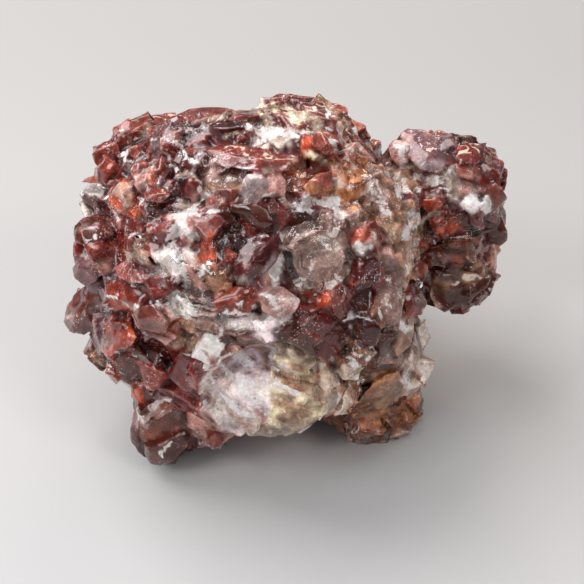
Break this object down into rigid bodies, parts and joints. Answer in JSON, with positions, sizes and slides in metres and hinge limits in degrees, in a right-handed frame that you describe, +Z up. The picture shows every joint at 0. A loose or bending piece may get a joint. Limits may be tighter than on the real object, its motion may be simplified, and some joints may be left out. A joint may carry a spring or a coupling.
{
  "type": "calcite specimen",
  "caption": "Natural cluster of red calcite: rhombohedral crystals on a rounded mass with a knob at one end and a clear bulge in front.",
  "frame": {"origin": "middle of the underside of the bounding box, on the surface that the specimen rests on", "axes": "+Z up, -Y towards the display front, +X to the right of a viewer in front, towards the knob"},
  "size_m": [0.1122, 0.0918, 0.0844],
  "materials": {
    "calcite": "glossy crystal faces, red-brown with clear, amber and frosted white zones"
  },
  "bodies": {
    "root": {"calcite_cluster": "calcite"}
  },
  "joints": []
}
